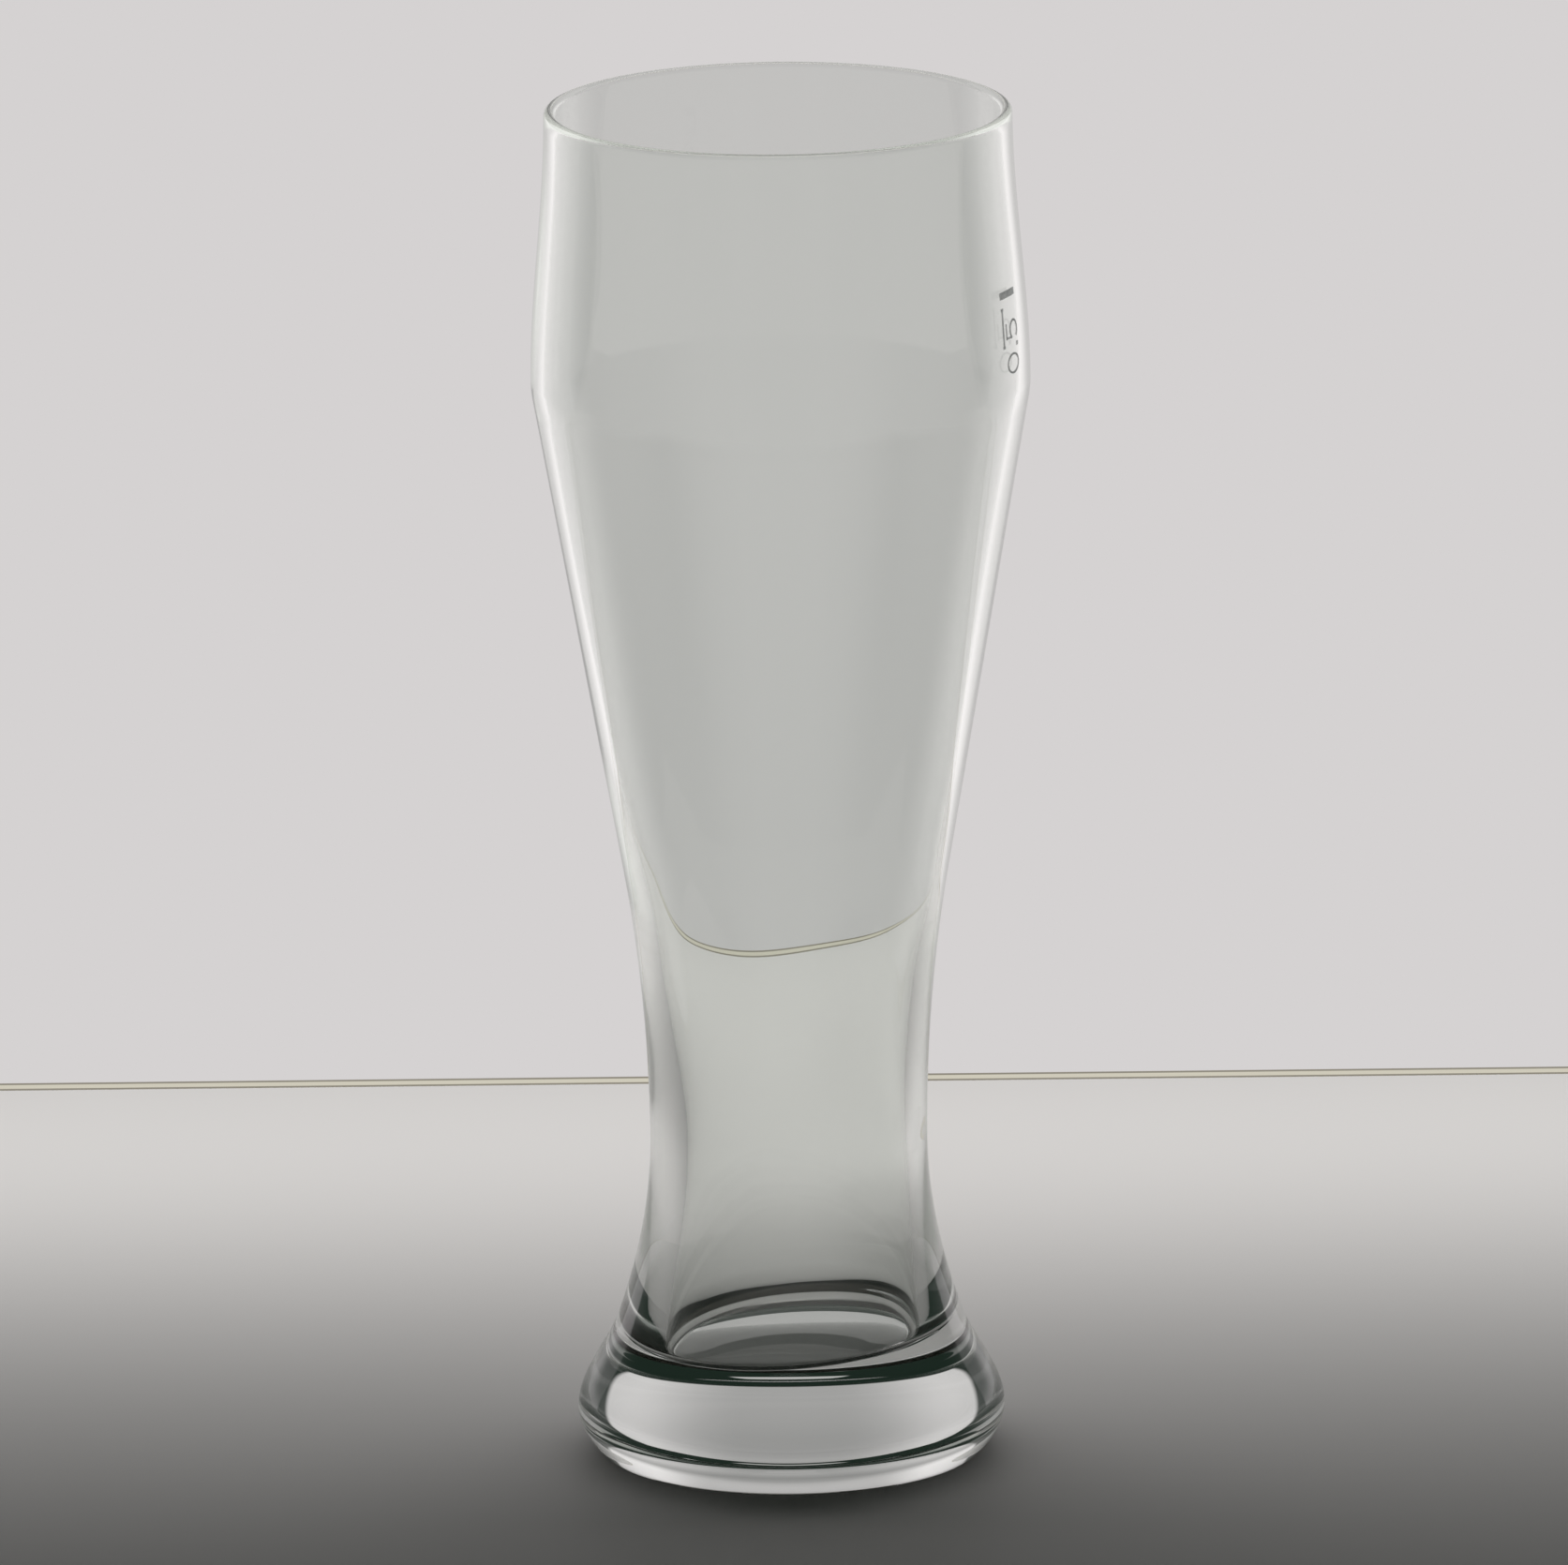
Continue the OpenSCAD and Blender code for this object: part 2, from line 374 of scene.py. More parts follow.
def pressed_soda_lime_glass(look):
    """Clear machine-made soda-lime glass: sharp, colourless refraction with a faint cast.

    Light that keeps reflecting inside the wall leaves it straight through after a while, which
    keeps the rim and the edges from turning black.
    """
    material = blank_material("pressed_soda_lime_glass")
    tree = material.node_tree
    shader = add_node(
        tree,
        "ShaderNodeBsdfPrincipled",
        {
            "Base Color": linear(look.tint),
            "Roughness": 0.0,
            "IOR": look.bending,
            "Transmission Weight": 1.0,
        },
    )
    way_out = add_node(tree, "ShaderNodeBsdfTransparent", {"Color": linear(look.tint)})
    ray = add_node(tree, "ShaderNodeLightPath")
    reflections = ray.outputs["Glossy Depth"]
    bounces = ray.outputs["Ray Depth"]
    trapped = calculate(tree, "GREATER_THAN", reflections, look.trapped_after - HALF_BOUNCE)
    lost = calculate(tree, "GREATER_THAN", bounces, look.lost_after - HALF_BOUNCE)
    leaving = larger(tree, trapped, lost)
    surface = mixed(tree, leaving, shader.outputs["BSDF"], way_out.outputs["BSDF"])
    add_node(tree, "ShaderNodeOutputMaterial", Surface=surface)
    return material


def fired_ceramic_ink(mark):
    """Screen-printed ceramic ink, fired on: thin, satin and slightly uneven in density."""
    material = blank_material("fired_ceramic_ink")
    tree = material.node_tree
    position = add_node(tree, "ShaderNodeTexCoord")
    grain = {"Scale": 1 / mark.grain, "Detail": 2.0}
    density = add_node(tree, "ShaderNodeTexNoise", grain, Vector=position.outputs["Object"])
    tone = add_node(tree, "ShaderNodeValToRGB", Fac=density.outputs["Fac"])
    full = linear(mark.colour)
    dark_end, full_end = tone.color_ramp.elements
    dark_end.position = mark.dark_below
    dark_end.color = tuple(part * mark.dark_share for part in full[:3]) + (1.0,)
    full_end.position = mark.full_above
    full_end.color = full
    satin = {"Roughness": 0.45, "IOR": 1.52}
    shader = add_node(tree, "ShaderNodeBsdfPrincipled", satin, Base_Color=tone.outputs["Color"])
    gaps = add_node(tree, "ShaderNodeBsdfTransparent")
    surface = mixed(tree, mark.thinness, shader.outputs["BSDF"], gaps.outputs["BSDF"])
    add_node(tree, "ShaderNodeOutputMaterial", Surface=surface)
    return material


def pale_satin_laminate(stage):
    """Pale laminate table top with a soft sheen. Far from the glass it glows evenly in its own
    colour: painted light, not lamp light.
    """
    material = blank_material("pale_satin_laminate")
    tree = material.node_tree
    colour = linear(stage.floor_colour)
    satin = {"Base Color": colour, "Roughness": 0.5, "Specular IOR Level": 0.15}
    shader = add_node(tree, "ShaderNodeBsdfPrincipled", satin)
    # Painted light: beyond the shaded part the floor glows in its own colour, in place of lamp
    # light.
    light = {"Color": colour, "Strength": stage.painted_glow_level}
    even = add_node(tree, "ShaderNodeEmission", light)
    position = add_node(tree, "ShaderNodeTexCoord")
    spot = add_node(tree, "ShaderNodeSeparateXYZ", Vector=position.outputs["Object"])
    aside = calculate(tree, "ABSOLUTE", spot.outputs["X"])
    blur = stage.shade_blur
    side = change(tree, aside, stage.shade_side, stage.shade_side + blur, 0.0, 1.0)
    end = -stage.shade_front
    front = change(tree, spot.outputs["Y"], end, end - blur, 0.0, 1.0)
    # One where the floor glows with painted light, zero near the glass where only the lamps light
    # it.
    far = larger(tree, side, front)
    surface = mixed(tree, far, shader.outputs["BSDF"], even.outputs["Emission"])
    add_node(tree, "ShaderNodeOutputMaterial", Surface=surface)
    return no_lamp(material)


def lit_strip(name, colour):
    """Plain material that shows its colour as written, for the thin joint."""
    material = blank_material(name)
    tree = material.node_tree
    shader = add_node(tree, "ShaderNodeEmission", {"Color": linear(colour)})
    add_node(tree, "ShaderNodeOutputMaterial", Surface=shader.outputs["Emission"])
    return no_lamp(material)


# The wall of the glass. Its points are pairs of a radius and a height.


def stretch(start, end, start_slope, end_slope, steps):
    """Points of a smooth stretch of wall between two heights, without its first point."""
    points = []
    rise = end[1] - start[1]
    for i in range(1, steps + 1):
        t = i / steps
        radius = start[0] * (2 * t**3 - 3 * t**2 + 1)
        radius += rise * start_slope * (t**3 - 2 * t**2 + t)
        radius += end[0] * (3 * t**2 - 2 * t**3)
        radius += rise * end_slope * (t**3 - t**2)
        points.append((radius, start[1] + rise * t))
    return points


def arc(centre, half_width, half_height, start, end, steps):
    """Points of part of an ellipse, with its first point."""
    points = []
    for i in range(steps + 1):
        turn = start + (end - start) * i / steps
        across = centre[0] + half_width * math.cos(turn)
        up = centre[1] + half_height * math.sin(turn)
        points.append((across, up))
    return points


def taper_top(sizes):
    """Outer radius and height where the belt's bend meets the straight taper."""
    return sizes.belt_width / 2 - sizes.bend_depth, sizes.belt_height - sizes.bend_height


def taper_bottom(sizes):
    """Outer radius and height where the straight taper meets the waist curve."""
    radius, height = taper_top(sizes)
    return radius - math.tan(sizes.taper) * (height - sizes.taper_end), sizes.taper_end


def outside_points(sizes):
    """Outside of the glass, from the resting ring up to the start of the rim."""
    n = sizes.steps
    taper = math.tan(sizes.taper)
    flare_slope = -math.tan(sizes.flare_lean)
    ring = (sizes.rest_width / 2, 0.0)
    foot = (sizes.foot_width / 2, sizes.foot_height)
    flare = (sizes.flare_width / 2, sizes.flare_height)
    waist = (sizes.waist_width / 2, sizes.waist_height)
    belt = (sizes.belt_width / 2, sizes.belt_height)
    rim = (sizes.rim_width / 2, sizes.height - sizes.wall / 2)
    points = [ring]
    points += stretch(ring, foot, math.tan(sizes.foot_lean), 0, n)
    points += stretch(foot, flare, 0, flare_slope, n)
    points += stretch(flare, waist, flare_slope, 0, n)
    points += stretch(waist, taper_bottom(sizes), 0, taper, n)
    points += stretch(taper_bottom(sizes), taper_top(sizes), taper, taper, STRAIGHT_STEPS)
    points += stretch(taper_top(sizes), belt, taper, 0, n)
    points += stretch(belt, rim, 0, 0, n)
    return points


def radius_at(points, height):
    """Radius of a line of points at a height."""
    for (r0, z0), (r1, z1) in zip(points, points[1:]):
        if z0 <= height <= z1:
            return r0 + (r1 - r0) * (height - z0) / (z1 - z0)
    raise ValueError(f"no wall at height {height}")


def inside_points(sizes):
    """Inside of the bowl, from the rim down to the middle of the floor."""
    n = sizes.steps
    taper = math.tan(sizes.taper)
    throat_slope = math.tan(sizes.throat_lean)
    heel_slope = -math.tan(sizes.heel_lean)
    outer = outside_points(sizes)
    outer_radius, taper_height = taper_top(sizes)
    rim = (sizes.rim_width / 2 - sizes.wall, sizes.height - sizes.wall / 2)
    belt = (sizes.belt_width / 2 - sizes.wall, sizes.belt_height)
    # The wall is measured square to its surface, so a leaning wall is wider.
    top = (outer_radius - sizes.wall / math.cos(sizes.taper), taper_height)
    settle_radius = top[0] - taper * (taper_height - sizes.settle_height)
    settle = (settle_radius, sizes.settle_height)
    throat_radius = radius_at(outer, sizes.throat_height) - sizes.throat_wall
    throat = (throat_radius, sizes.throat_height)
    waist = (sizes.waist_width / 2 - sizes.waist_wall, sizes.waist_height)
    heel_height = sizes.floor_height + sizes.floor_corner
    heel = (radius_at(outer, heel_height) - sizes.heel_wall, heel_height)
    corner_radius = heel[0] - sizes.floor_corner
    corner = (corner_radius, heel_height)
    round_off = sizes.floor_corner
    points = stretch(rim, belt, 0, 0, n)
    points += stretch(belt, top, 0, taper, n)
    points += stretch(top, settle, taper, taper, STRAIGHT_STEPS)
    points += stretch(settle, throat, taper, throat_slope, n)
    points += stretch(throat, waist, throat_slope, 0, n)
    points += stretch(waist, heel, 0, heel_slope, n)
    points += arc(corner, round_off, round_off, 0, -QUARTER_TURN, n)[1:]
    for i in range(1, n):
        out = 1 - i / n
        dip = sizes.floor_dish * (1 - out**2)
        points.append((corner_radius * out, sizes.floor_height - dip))
    return points


def swell(height, middle, reach):
    """One at a height, fading smoothly above and below it."""
    return math.exp(-(((height - middle) / reach) ** 2))


def blown_unevenness(sizes, radius, height, turn):
    """Radius and height of a point of the inner wall, which no mould has touched."""
    rim_fade = min(1.0, (sizes.height - height) / RIM_FADE)
    centre_fade = min(1.0, radius / CENTRE_FADE)
    wave = 0.0
    for strength, waves, start, climb in WALL_WAVES:
        wave += strength * math.cos(waves * turn + start + height / climb)
    radius += sizes.waviness * wave * rim_fade * centre_fade
    aside = sizes.drift * swell(height, sizes.drift_height, sizes.drift_reach)
    aside += sizes.swerve * swell(height, sizes.swerve_height, sizes.swerve_reach)
    radius += aside * math.cos(turn) * centre_fade
    oval = sizes.oval * swell(height, sizes.oval_height, sizes.oval_reach)
    radius += oval * math.cos(2 * turn) * centre_fade
    low = max(0.0, 1 - (height - sizes.floor_height) / TILT_REACH)
    tilt = math.tan(sizes.floor_tilt) * low**2 * (3 - 2 * low)
    return radius, height + tilt * radius * math.cos(turn)


def revolve(bm, rings):
    """Skins rings of vertices into quads, closed round the axis."""
    for low, high in zip(rings, rings[1:]):
        for i in range(len(low)):
            j = (i + 1) % len(low)
            bm.faces.new((low[i], low[j], high[j], high[i]))


def ring_of(bm, sizes, point, shape=None):
    """A ring of vertices at a radius and height, bent by the shape where one is given."""
    ring = []
    for i in range(sizes.rounds):
        turn = FULL_TURN * i / sizes.rounds
        radius, height = shape(sizes, *point, turn) if shape else point
        ring.append(bm.verts.new((radius * math.cos(turn), radius * math.sin(turn), height)))
    return ring


def close_with_point(bm, ring, height, upward):
    """Closes a ring with a fan to a point on the axis."""
    tip = bm.verts.new((0, 0, height))
    for i in range(len(ring)):
        a, b = ring[i], ring[(i + 1) % len(ring)]
        bm.faces.new((a, b, tip) if upward else (b, a, tip))


def finished_mesh(bm, name):
    """Turns the skin's faces outwards and makes it a mesh."""
    bmesh.ops.recalc_face_normals(bm, faces=bm.faces)
    mesh = bpy.data.meshes.new(name)
    bm.to_mesh(mesh)
    bm.free()
    return mesh


def glass_mesh(sizes):
    """One closed skin: underside, outside, rim, inside and floor."""
    bm = bmesh.new()
    n = sizes.steps
    ring_in = sizes.rest_width / 2 - sizes.rest_ring
    under = [(ring_in * i / n, sizes.hollow * (1 - (i / n) ** 2)) for i in range(1, n + 1)]
    rim_round = sizes.wall / 2
    rim_centre = (sizes.rim_width / 2 - rim_round, sizes.height - rim_round)
    rim = arc(rim_centre, rim_round, rim_round, 0, math.pi, n)[1:]
    rings = [ring_of(bm, sizes, p) for p in under + outside_points(sizes) + rim]
    rings += [ring_of(bm, sizes, p, blown_unevenness) for p in inside_points(sizes)]
    revolve(bm, rings)
    close_with_point(bm, rings[0], sizes.hollow, False)
    close_with_point(bm, rings[-1], sizes.floor_height - sizes.floor_dish, True)
    for face in bm.faces:
        face.smooth = True
    return finished_mesh(bm, "glass")


def place(mesh, name, material, node):
    """Puts a mesh in the scene as a piece that rides on the glass."""
    mesh.name = name
    mesh.materials.append(material)
    piece = bpy.data.objects.new(name, mesh)
    bpy.context.scene.collection.objects.link(piece)
    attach(piece, "root")
    if node:
        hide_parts(node)


# The fired-on mark, drawn on the unrolled wall as lengths across and down, and bent round it


def bar(left, right, bottom, top):
    """An upright rectangle on the unrolled wall."""
    return [(left, bottom), (right, bottom), (right, top), (left, top)]


def sliced(left, right, top, bottom, slices):
    """A rectangle as slices, so that it bends round the wall."""
    step = (right - left) / slices
    return [bar(left + step * i, left + step * (i + 1), bottom, top) for i in range(slices)]


def band_along(path, width):
    """Quads along a path on the unrolled wall, with even width and mitred turns."""
    edges = []
    for i, (x, y) in enumerate(path):
        before = path[max(i - 1, 0)]
        after = path[min(i + 1, len(path) - 1)]
        way = Vector((after[0] - before[0], after[1] - before[1])).normalized()
        side = Vector((-way.y, way.x)) * width / 2
        edges.append(((x + side.x, y + side.y), (x - side.x, y - side.y)))
    return [(a[0], b[0], b[1], a[1]) for a, b in zip(edges, edges[1:])]


def nought_paths(width, height):
    """The path of a plain nought in its own box."""
    middle = (width / 2, height / 2)
    return [arc(middle, width / 2, height / 2, 0, FULL_TURN, NOUGHT_STEPS)]


def five_paths(width, height):
    """The paths of a plain five in its own box: bowl, upright and flag."""
    middle = (width * BOWL_MIDDLE_SHARES[0], height * BOWL_MIDDLE_SHARES[1])
    half = (width * BOWL_HALF_SHARES[0], height * BOWL_HALF_SHARES[1])
    bowl = arc(middle, *half, -BOWL_TURN, BOWL_TURN, FIVE_STEPS)
    upright = [bowl[-1], (width * UPRIGHT_TOP_SHARE, height)]
    flag = [(width * share, height) for share in FLAG_END_SHARES]
    return [bowl, upright, flag]


def on_the_wall(sizes, mark, across, down):
    """A place on the unrolled wall as a direction round the glass and a height."""
    girth = sizes.rim_width / 2
    return mark.turn + across / girth - QUARTER_TURN, sizes.height - mark.drop - down


def ink_mesh(sizes, mark, patches):
    """A thin skin of ink over flat patches, bent round the outside of the glass."""
    wall = outside_points(sizes)
    bm = bmesh.new()
    for patch in patches:
        faces = []
        for lift in (0.0, mark.ink):
            corners = []
            for across, down in patch:
                turn, height = on_the_wall(sizes, mark, across, down)
                radius = radius_at(wall, height) + lift
                x, y = radius * math.cos(turn), radius * math.sin(turn)
                corners.append(bm.verts.new((x, y, height)))
            faces.append(corners)
        back, front = faces
        bm.faces.new(back[::-1])
        bm.faces.new(front)
        for i in range(len(patch)):
            j = (i + 1) % len(patch)
            bm.faces.new((back[i], back[j], front[j], front[i]))
    return finished_mesh(bm, "ink")


def line_patches(mark):
    """The fill line."""
    return sliced(0.0, mark.line_length, 0.0, mark.line_height, LINE_SLICES)


def stroke_patches(mark):
    """The upright stroke with its two end bars."""
    top = mark.line_height + mark.stroke_gap
    bottom = top + mark.stroke_length
    upper_end = top + mark.serif_height
    lower_end = bottom - mark.serif_height
    side = (mark.serif_width - mark.stroke_width) / 2
    patches = [bar(side, side + mark.stroke_width, lower_end, upper_end)]
    for start, end in ((top, upper_end), (lower_end, bottom)):
        patches += sliced(0.0, mark.serif_width, start, end, SERIF_SLICES)
    return patches


def numeral_patches(mark):
    """Plain numerals for half a litre, on their side and read upwards."""
    tall, wide = mark.digit_height, mark.digit_width
    foot_line = mark.serif_width + mark.digit_gap + tall
    patches = []
    for paths, end in (
        (five_paths(wide, tall), mark.five_end),
        (nought_paths(wide, tall), mark.nought_end),
    ):
        for path in paths:
            turned = [(foot_line - y, end - x) for x, y in path]
            patches += band_along(turned, mark.digit_stroke)
    middle = foot_line - mark.digit_stroke / 2
    half = mark.point_size / 2
    end = mark.point_start + mark.point_size
    patches.append(bar(middle - half, middle + half, end, mark.point_start))
    return patches


# The stage


def lay_sheet(name, material, reach, start, end):
    """Lays a flat sheet at floor level, with its front edge at start and its back at end."""
    mesh = bpy.data.meshes.new(name)
    corners = [(-reach, start, 0), (reach, start, 0), (reach, end, 0), (-reach, end, 0)]
    mesh.from_pydata(corners, [], [(0, 1, 2, 3)])
    mesh.materials.append(material)
    sheet = bpy.data.objects.new(name, mesh)
    bpy.context.scene.collection.objects.link(sheet)


def make_floor(stage):
    """A flat floor that ends a little way behind the glass."""
    reach = stage.floor_reach
    lay_sheet("studio_floor", pale_satin_laminate(stage), reach, -reach, stage.floor_back)


def make_joint(stage):
    """The thin joint between floor and backdrop: pale filler between two darker edges."""
    near = stage.floor_back
    far = near + stage.joint_width
    edge = stage.edge_width
    strips = (
        ("joint_near_edge", near, near + edge, stage.edge_colour),
        ("joint_filler", near + edge, far - edge, stage.joint_colour),
        ("joint_far_edge", far - edge, far, stage.edge_colour),
    )
    for name, start, end, colour in strips:
        lay_sheet(name, lit_strip(name, colour), stage.floor_reach, start, end)


def directions(tree):
    """Where a ray goes: how far aside, how far up, and one where it goes to the back."""
    position = add_node(tree, "ShaderNodeTexCoord")
    way = add_node(tree, "ShaderNodeSeparateXYZ", Vector=position.outputs["Generated"])
    depth = calculate(tree, "ABSOLUTE", way.outputs["Y"])
    turn = calculate(tree, "ABSOLUTE", calculate(tree, "ARCTAN2", way.outputs["X"], depth))
    up = calculate(tree, "ARCSINE", way.outputs["Z"])
    return turn, up, calculate(tree, "GREATER_THAN", way.outputs["Y"], 0.0)


def wall_shape(tree, stage, turn, up):
    """One on the lit wall behind the glass, and zero beside and above it."""
    wide = soft_step(tree, turn, stage.lit_spread, stage.lit_blur)
    low_wide = soft_step(tree, turn, stage.low_spread, stage.low_blur)
    below = change(tree, up, stage.wall_low - 2 * stage.lit_blur, stage.wall_low, 1.0, 0.0)
    wide = larger(tree, wide, product(tree, low_wide, below))
    return product(tree, wide, soft_step(tree, up, stage.lit_height, stage.lit_blur / 2))


def wall_light(tree, stage, turn, up):
    """Light of the wall: dimmer from eye level up, brighter again at its top and sides."""
    low, dip = stage.wall_low, stage.wall_dip
    fade = change(tree, up, low, dip, stage.low_level, stage.dip_level)
    rise = stage.top_level / stage.dip_level
    top = change(tree, up, dip, stage.wall_top, 1.0, rise)
    high_side = change(tree, turn, stage.high_start, stage.high_end, 0.0, 1.0)
    high_gain = product(tree, high_side, change(tree, up, low, dip, 0.0, stage.high_gain))
    low_side = change(tree, turn, stage.low_start, stage.low_end, 0.0, 1.0)
    low_gain = product(tree, low_side, change(tree, up, low, dip, stage.low_gain, 0.0))
    gain = calculate(tree, "ADD", calculate(tree, "ADD", high_gain, low_gain), 1.0)
    return product(tree, fade, top, gain)


def ceiling_panel(tree, stage, turn, up):
    """Light of a dim panel high behind the glass."""
    blur = stage.lit_blur / 4
    under = soft_step(tree, up, stage.panel_low, blur)
    panel = calculate(tree, "SUBTRACT", soft_step(tree, up, stage.panel_high, blur), under)
    narrow = soft_step(tree, turn, stage.panel_spread, stage.lit_blur)
    return product(tree, panel, narrow, stage.panel_level)


def front_wall(tree, stage, turn, up):
    """Light of a dim wall behind the camera, which keeps the glass readable from there."""
    fade = change(tree, up, stage.front_low, stage.front_high, stage.front_level, 0.0)
    return product(tree, fade, soft_step(tree, turn, stage.lit_spread, stage.front_blur))


def room_light(tree, stage):
    """How much of the backdrop's light each direction of the room has."""
    turn, up, back = directions(tree)
    shape = wall_shape(tree, stage, turn, up)
    wall = product(tree, shape, wall_light(tree, stage, turn, up))
    behind = product(tree, larger(tree, wall, ceiling_panel(tree, stage, turn, up)), back)
    return larger(tree, behind, front_wall(tree, stage, turn, up))


def room_colour(tree, stage):
    """The room's colour in each direction, between its dim and its lit parts."""
    # The factor isn't clamped, because the wall's sides are brighter than the backdrop.
    kind = {"data_type": "RGBA", "clamp_factor": False}
    room = add_node(tree, "ShaderNodeMix", kind, Factor=room_light(tree, stage))
    # The node has sockets of the same names for each kind of value. These are the colours'.
    room.inputs[6].default_value = linear(stage.dim_colour)
    room.inputs[7].default_value = linear(stage.backdrop_colour)
    return room.outputs[2]


def glass_rays(tree, ray):
    """One for a ray that reached the world by way of glass or gloss alone."""
    through = larger(tree, ray.outputs["Is Glossy Ray"], ray.outputs["Is Transmission Ray"])
    unscattered = calculate(tree, "LESS_THAN", ray.outputs["Diffuse Depth"], HALF_BOUNCE)
    return product(tree, through, unscattered)


def make_world(stage):
    """A plain pale backdrop for the camera, and a soft fill for the floor.

    Glass and gloss see a room instead, lit behind the glass and dim elsewhere.
    """
    world = bpy.data.worlds.new("studio_backdrop")
    world.use_nodes = True
    tree = world.node_tree
    tree.nodes.clear()
    backdrop = add_node(tree, "ShaderNodeBackground", {"Color": linear(stage.backdrop_colour)})
    fill = add_node(tree, "ShaderNodeBackground", {"Color": linear(stage.fill_colour)})
    room = add_node(tree, "ShaderNodeBackground", Color=room_colour(tree, stage))
    ray = add_node(tree, "ShaderNodeLightPath")
    through = glass_rays(tree, ray)
    unseen = mixed(tree, through, fill.outputs["Background"], room.outputs["Background"])
    seen = ray.outputs["Is Camera Ray"]
    surface = mixed(tree, seen, unseen, backdrop.outputs["Background"])
    add_node(tree, "ShaderNodeOutputWorld", Surface=surface)
    bpy.context.scene.world = world


def hang_lamp(lamp, spot, aim):
    """Hangs a lamp, turned to what it lights. Neither the camera nor the glass shows it."""
    holder = bpy.data.objects.new(lamp.name, lamp)
    holder.location = spot
    holder.rotation_euler = (aim - spot).to_track_quat("-Z", "Y").to_euler()
    holder.visible_camera = False
    holder.visible_glossy = False
    holder.visible_transmission = False
    bpy.context.scene.collection.objects.link(holder)


def make_lamp(stage):
    """A long soft lamp over the back of the floor."""
    lamp = bpy.data.lights.new("back_strip_light", "AREA")
    lamp.shape = "RECTANGLE"
    lamp.size = stage.lamp_width
    lamp.size_y = stage.lamp_depth
    lamp.energy = stage.lamp_power
    spot = Vector((0, stage.lamp_back, stage.lamp_height))
    hang_lamp(lamp, spot, Vector((0, stage.floor_back, 0)))


def make_spot(stage, sizes, mark):
    """A small lamp on the fill mark from the right, which misses the floor by the glass."""
    lamp = bpy.data.lights.new("mark_spot", "SPOT")
    lamp.energy = stage.spot_power
    lamp.spot_size = stage.spot_spread
    lamp.spot_blend = 1.0
    lamp.shadow_soft_size = stage.spot_size
    away = stage.spot_away
    height = sizes.height - mark.drop
    turn = stage.spot_turn - QUARTER_TURN
    spot = Vector((away * math.cos(turn), away * math.sin(turn), height))
    hang_lamp(lamp, spot, Vector((0, 0, height)))


def make_camera(stage):
    """The camera at the photograph's viewing angle."""
    data = bpy.data.cameras.new("studio_camera")
    data.lens = stage.camera_lens
    data.sensor_width = stage.camera_sensor
    camera = bpy.data.objects.new("studio_camera", data)
    turn = Matrix.Rotation(QUARTER_TURN - stage.camera_pitch, 4, "X")
    lean = Matrix.Rotation(stage.camera_roll, 4, "Z")
    spot = (stage.camera_aside, -stage.camera_away, stage.camera_height)
    camera.matrix_world = Matrix.Translation(spot) @ turn @ lean
    bpy.context.scene.collection.objects.link(camera)
    bpy.context.scene.camera = camera


# Operators and panel


class MakeGlass(bpy.types.Operator):
    """Makes the glass: bowl, belt, waist and solid foot in one piece"""

    bl_idname = "weizen.make_glass"
    bl_label = "Make the glass"

    def execute(self, context):
        sizes = context.scene.weizen_sizes
        material = pressed_soda_lime_glass(context.scene.weizen_look)
        place(glass_mesh(sizes), "clear_glass_body", material, "glass_body")
        return {"FINISHED"}


class MakeMark(bpy.types.Operator):
    """Makes the fired-on fill line, its stroke and its numerals"""

    bl_idname = "weizen.make_mark"
    bl_label = "Make the fill mark"

    def execute(self, context):
        sizes = context.scene.weizen_sizes
        mark = context.scene.weizen_mark
        material = fired_ceramic_ink(mark)
        groups = (
            ("printed_fill_line", line_patches(mark), "fill_line"),
            ("printed_stroke", stroke_patches(mark), "mark_stroke"),
            ("printed_numerals", numeral_patches(mark), None),
        )
        for name, patches, node in groups:
            place(ink_mesh(sizes, mark, patches), name, material, node)
        return {"FINISHED"}


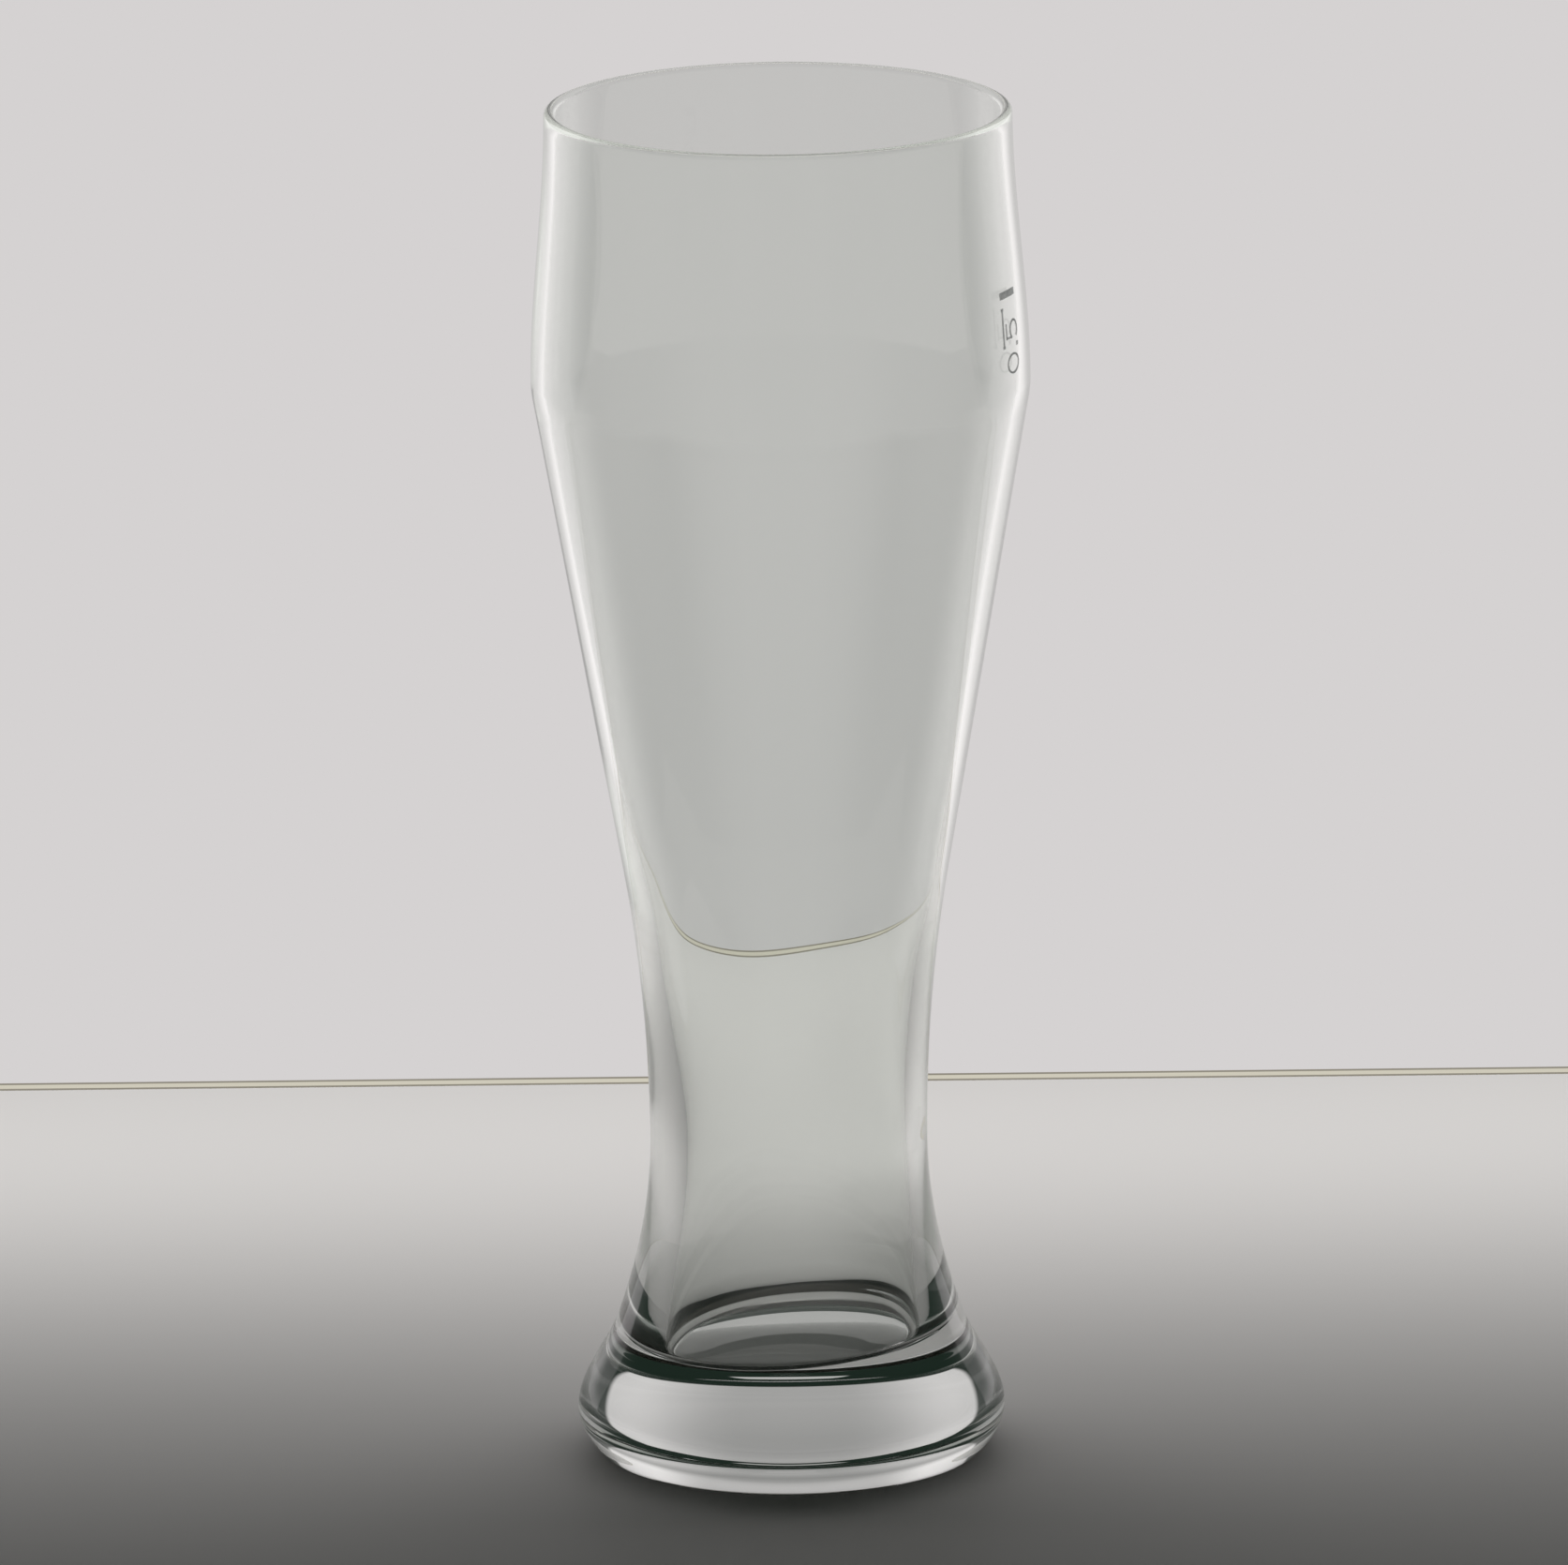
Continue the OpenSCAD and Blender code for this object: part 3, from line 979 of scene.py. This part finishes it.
class MakeStage(bpy.types.Operator):
    """Makes the floor, the backdrop, the lamps and the camera"""

    bl_idname = "weizen.make_stage"
    bl_label = "Make the stage"

    def execute(self, context):
        stage = context.scene.weizen_stage
        make_floor(stage)
        make_joint(stage)
        make_world(stage)
        make_lamp(stage)
        make_spot(stage, context.scene.weizen_sizes, context.scene.weizen_mark)
        make_camera(stage)
        context.scene.view_settings.view_transform = "Standard"
        return {"FINISHED"}


class WeizenPanel(bpy.types.Panel):
    """Lists the sizes, the colours and the operators"""

    bl_idname = "VIEW3D_PT_weizen"
    bl_label = "Weizen glass"
    bl_space_type = "VIEW_3D"
    bl_region_type = "UI"
    bl_category = "Weizen glass"

    def draw(self, context):
        layout = self.layout
        scene = context.scene
        groups = (scene.weizen_sizes, scene.weizen_look, scene.weizen_mark, scene.weizen_stage)
        for group in groups:
            box = layout.box()
            for name in group.__annotations__:
                box.prop(group, name)
        for operator in (MakeGlass, MakeMark, MakeStage):
            layout.operator(operator.bl_idname)


CLASSES = (
    GlassSizes,
    GlassLook,
    MarkSizes,
    StageLook,
    MakeGlass,
    MakeMark,
    MakeStage,
    WeizenPanel,
)


def register():
    """Registers the classes and hangs the settings on the scene."""
    for each in CLASSES:
        bpy.utils.register_class(each)
    bpy.types.Scene.weizen_sizes = PointerProperty(type=GlassSizes)
    bpy.types.Scene.weizen_look = PointerProperty(type=GlassLook)
    bpy.types.Scene.weizen_mark = PointerProperty(type=MarkSizes)
    bpy.types.Scene.weizen_stage = PointerProperty(type=StageLook)


def unregister():
    """Takes the settings off the scene and unregisters the classes."""
    del bpy.types.Scene.weizen_stage
    del bpy.types.Scene.weizen_mark
    del bpy.types.Scene.weizen_look
    del bpy.types.Scene.weizen_sizes
    for each in reversed(CLASSES):
        bpy.utils.unregister_class(each)


def main():
    """Makes the glass, its mark and the stage."""
    register()
    bpy.ops.weizen.make_glass()
    bpy.ops.weizen.make_mark()
    bpy.ops.weizen.make_stage()


if __name__ == "__main__":
    main()
